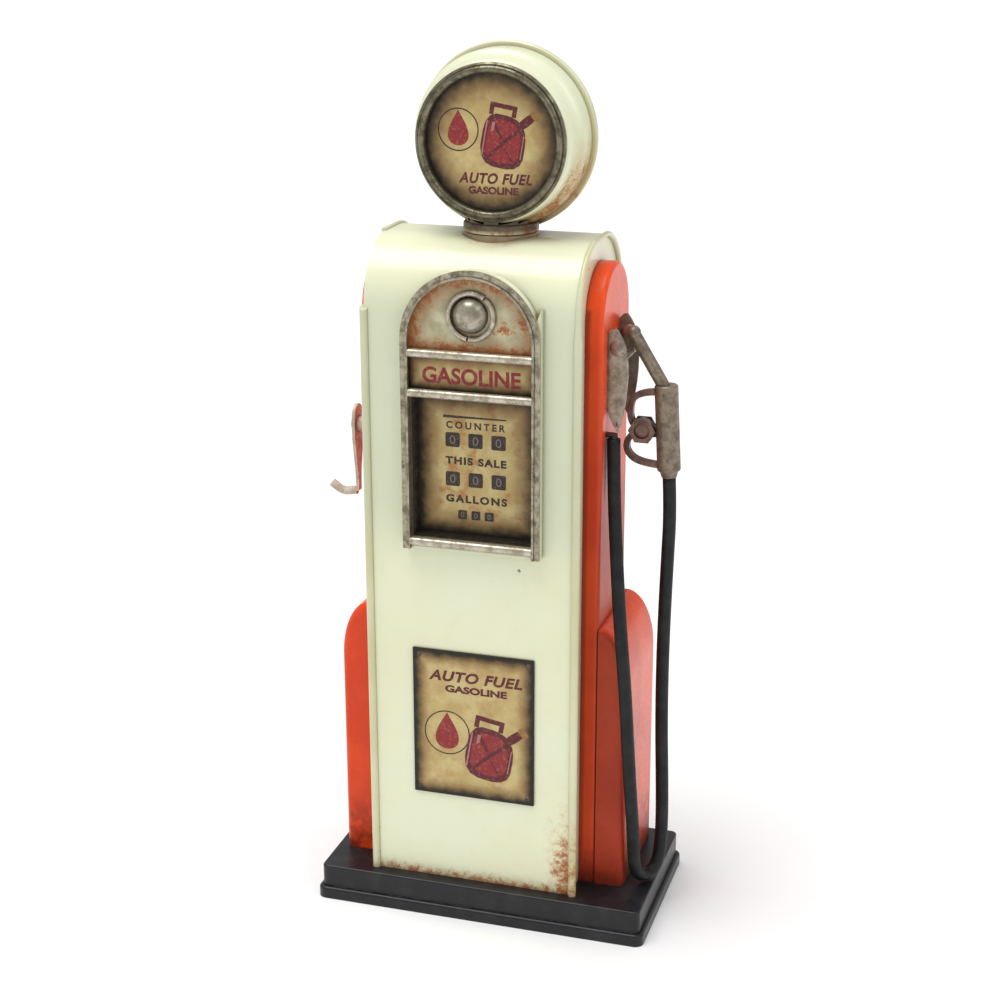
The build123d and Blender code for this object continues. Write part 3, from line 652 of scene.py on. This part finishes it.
def lettering(name, words, box, y, body, material, bold=0.02, lean=0.0, gap=1.0):
    """Words stretched to fill box = (left, right, low, high), standing in front of y."""
    data = bpy.data.curves.new(name, "FONT")
    data.body = words
    data.extrude = 0.01
    data.offset = bold
    data.shear = lean
    data.space_character = gap
    data.resolution_u = 6
    holder = bpy.data.objects.new(name + "_text", data)
    bpy.context.collection.objects.link(holder)
    mesh = bpy.data.meshes.new_from_object(holder)
    bpy.data.objects.remove(holder)
    points = [v.co.copy() for v in mesh.vertices]
    low = [min(p[i] for p in points) for i in range(3)]
    high = [max(p[i] for p in points) for i in range(3)]
    left, right, foot, top = box
    for vertex, p in zip(mesh.vertices, points):
        across, up, out = ((p[i] - low[i]) / (high[i] - low[i]) for i in range(3))
        vertex.co = Vector((left + across * (right - left), y - out * PRINT_LIFT,
                            foot + up * (top - foot))) * MM
    mesh.name = name
    piece = bpy.data.objects.new(name, mesh)
    bpy.context.collection.objects.link(piece)
    return keep(piece, body, material)


def softened(points, rounds=3, cut_share=0.22):
    """A closed outline with its corners cut and cut again."""
    near, far = 1 - cut_share, cut_share
    for _ in range(rounds):
        cut = []
        for (ax, az), (bx, bz) in zip(points, points[1:] + points[:1]):
            cut.append((ax * near + bx * far, az * near + bz * far))
            cut.append((ax * far + bx * near, az * far + bz * near))
        points = cut
    return points


def placed(points, centre, scale, tilt=0.0):
    c, s = math.cos(math.radians(tilt)), math.sin(math.radians(tilt))
    return [(centre[0] + scale * (x * c - z * s), centre[1] + scale * (x * s + z * c)) for x, z in points]


def hoop(name, centre, radius, width, y, body, material, sides=64):
    """Thin printed ring, as a fan of short plates."""
    outlines = []
    for k in range(sides):
        a, b = (2 * math.pi * (k + i) / sides for i in (0, 1))
        outlines.append([(centre[0] + r * math.cos(t), centre[1] + r * math.sin(t))
                         for r, t in ((radius, a), (radius + width, a), (radius + width, b), (radius, b))])
    return plates(name, outlines, y, PRINT_LIFT, body, material)


DROP_WIDTH = 0.86
DROP_TAPER = 1.4


def drop(centre, size, sides=40):
    """Outline of a fuel drop, its point upwards."""
    turns = [2 * math.pi * k / sides for k in range(sides)]
    return [(centre[0] + DROP_WIDTH * size * math.sin(t) * math.sin(t / 2) ** DROP_TAPER,
             centre[1] + size * math.cos(t)) for t in turns]


CAN_BODY = [(-9.0, -11.0), (9.2, -11.0), (9.2, 4.2), (4.0, 9.8), (-9.0, 9.8)]
CAN_PANEL = [(-7.0, -9.0), (7.2, -9.0), (7.2, 3.6), (3.2, 7.8), (-7.0, 7.8)]
CAN_SPOUT = [(4.4, 7.6), (7.2, 5.2), (12.2, 11.0), (9.8, 13.2)]
CAN_CAP = [(8.6, 12.2), (12.0, 9.6), (13.6, 11.6), (10.2, 14.2)]
CAN_GRIP = [(-7.6, 9.2), (-7.6, 14.0), (3.6, 14.0), (3.6, 9.6), (1.8, 9.6), (1.8, 12.2), (-5.8, 12.2),
            (-5.8, 9.2)]
CAN_SHINE = [[(-8.1, -7.4), (-7.5, -7.4), (-7.5, 6.6), (-8.1, 6.6)],
             [(-5.6, 2.4), (-4.4, 3.4), (-4.4, 6.4), (-5.6, 6.4)],
             [(7.9, -6.0), (8.3, -6.0), (8.3, 3.2), (7.9, 3.6)]]
CAN_BRACES = [[(-6.2, -8.4), (-5.2, -8.8), (0.9, -1.3), (-0.3, -0.3)],
              [(0.9, -1.3), (6.4, 4.6), (5.4, 5.6), (-0.3, -0.3)],
              [(-6.2, 7.0), (-5.2, 7.4), (-0.4, 0.9), (-1.2, -0.1)],
              [(1.0, -2.6), (6.6, -8.8), (5.6, -9.0), (0.2, -2.2)]]
CAN_TILT = -10


def emblem(prefix, ring_at, ring_r, can_at, scale, y, body, inks):
    """The print's own picture: a fuel drop in a ring, and a fuel can leaning beside it."""

    def layer(part, outlines, rounds, lift, colour):
        shapes = [placed(softened(o, rounds) if rounds else o, can_at, scale, CAN_TILT) for o in outlines]
        plates(f"{prefix}_{part}", shapes, y, lift * PRINT_LIFT, body, inks[colour])

    hoop(f"{prefix}_ring", ring_at, ring_r, 0.45, y, body, inks["dark"])
    fuel = drop((ring_at[0], ring_at[1] + 0.10 * ring_r), 0.88 * ring_r)
    plates(f"{prefix}_drop", [fuel], y, PRINT_LIFT, body, inks["red"])
    layer("spout", [CAN_SPOUT], 2, 1.0, "wine")
    layer("grip", [CAN_GRIP], 0, 1.0, "wine")
    layer("can", [CAN_BODY], 2, 1.2, "wine")
    layer("cap", [CAN_CAP], 2, 1.4, "ochre")
    layer("panel", [CAN_PANEL], 2, 1.6, "red")
    layer("braces", CAN_BRACES, 0, 1.9, "wine")
    layer("shine", CAN_SHINE, 0, 2.2, "rose")


def window(name, x, z, size, y, body, inks):
    """A number window: a dark square with a pale figure in it."""
    half = size / 2
    square = [(x - half, z - half), (x + half, z - half), (x + half, z + half), (x - half, z + half)]
    square = softened(square, 1, 0.08)
    plates(name, [square], y, 2 * PRINT_LIFT, body, inks["dark"])
    lettering(f"{name}_figure", "0", (x - 0.20 * size, x + 0.20 * size, z - 0.30 * size, z + 0.30 * size),
              y - 1.9 * PRINT_LIFT, body, inks["pale"], bold=0.0)


def print_inks():
    return {"dark": ink("ink_dark", (0.035, 0.022, 0.018), 0.25),
            "red": ink("ink_red", (0.33, 0.020, 0.026)), "wine": ink("ink_wine", (0.13, 0.010, 0.020)),
            "rose": ink("ink_rose", (0.52, 0.20, 0.20)), "ochre": ink("ink_ochre", (0.36, 0.19, 0.04)),
            "pale": ink("ink_pale", (0.22, 0.18, 0.17), 0.2)}


# Number windows on the dial: (height of the row's middle, distance between windows, size).
WINDOW_ROWS = ((197.1, 9.05, 5.6), (181.7, 9.1, 5.6), (167.7, 5.3, 3.5))
DIAL_RULE = [(-15.4, 205.6), (9.4, 205.9), (9.4, 206.4), (-15.4, 206.6)]


def dial_prints(colours):
    y, dark = DIAL[0][1], colours["dark"]
    plates("dial_rule", [DIAL_RULE], y, PRINT_LIFT, "pump", dark)
    lettering("dial_word_counter", "COUNTER", (-14.2, 9.0, 201.5, 204.3), y, "pump", dark,
              bold=0.03, gap=1.5)
    lettering("dial_word_sale", "THIS SALE", (-14.6, 9.5, 187.4, 190.5), y, "pump", dark,
              bold=0.045, gap=1.2)
    lettering("dial_word_gallons", "GALLONS", (-14.5, 9.7, 172.4, 175.5), y, "pump", dark,
              bold=0.045, gap=1.3)
    middle = DIAL_X - 0.55
    for row, (z, pitch, size) in enumerate(WINDOW_ROWS):
        for column in range(3):
            place = middle + (column - 1) * pitch
            window(f"dial_window_{row}_{column}", place, z, size, y, "pump", colours)


def title(prefix, upper, lower, y, body, colours):
    """The two words over or under an emblem, in their (left, right, low, high) boxes."""
    lettering(f"{prefix}_word_upper", "AUTO FUEL", upper, y, body, colours["wine"],
              bold=0.035, lean=0.25, gap=1.1)
    lettering(f"{prefix}_word_lower", "GASOLINE", lower, y, body, colours["wine"], bold=0.045)


def prints():
    colours = print_inks()
    lettering("header_word", "GASOLINE", (-21.6, 16.6, 219.9, 226.2), HEADER[0][1], "pump", colours["red"],
              bold=0.03)
    dial_prints(colours)
    poster_y = POSTER[0][1]
    title("poster", (-20.8, 17.4, 100.3, 104.8), (-14.0, 11.2, 95.8, 98.8), poster_y, "pump", colours)
    emblem("poster", (-13.4, 78.4), 8.9, (4.0, 71.6), 1.06, poster_y, "pump", colours)
    title("globe", (-13.6, 14.6, 291.2, 295.2), (-9.8, 9.4, 287.4, 290.2), GLOBE_FACE_Y, "globe", colours)
    emblem("globe", (-13.6, 310.6), 7.4, (3.6, 307.2), 0.92, GLOBE_FACE_Y, "globe", colours)


# ---- floor and light ----
SKY_LIGHT = 0.56    # the world as light
SKY_SEEN = 1.0      # the world as backdrop


def studio():
    bpy.ops.mesh.primitive_plane_add(size=30)
    floor = bpy.context.object
    floor.name = "floor"
    paint = Paint("floor_paper", Roughness=0.9)
    paint.shader.inputs["Base Color"].default_value = (0.90, 0.90, 0.90, 1)
    floor.data.materials.append(paint.material)

    world = bpy.data.worlds.new("studio")
    world.use_nodes = True
    tree = world.node_tree
    sky = tree.nodes["Background"].inputs
    sky["Color"].default_value = (1, 1, 1, 1)
    seen = tree.nodes.new("ShaderNodeLightPath").outputs["Is Camera Ray"]
    strength = tree.nodes.new("ShaderNodeMapRange")
    strength.inputs["To Min"].default_value = SKY_LIGHT
    strength.inputs["To Max"].default_value = SKY_SEEN
    tree.links.new(seen, strength.inputs["Value"])
    tree.links.new(strength.outputs["Result"], sky["Strength"])
    bpy.context.scene.world = world
    bpy.context.scene.view_settings.view_transform = "Standard"
    sun("key", toward=(-0.20, -0.16, 0.97), strength=2.1, spread=40)
    sun("side", toward=(0.75, -0.35, 0.55), strength=0.35, spread=30)


def sun(name, toward, strength, spread):
    """Broad, even studio light from one direction."""
    data = bpy.data.lights.new(name, "SUN")
    data.energy = strength
    data.angle = math.radians(spread)
    lamp = bpy.data.objects.new(name, data)
    lamp.rotation_euler = Vector(toward).to_track_quat("Z", "Y").to_euler()
    bpy.context.collection.objects.link(lamp)


camera()
finishes = finish_nodes()
hose(finishes["hose_rubber"])
prints()
studio()
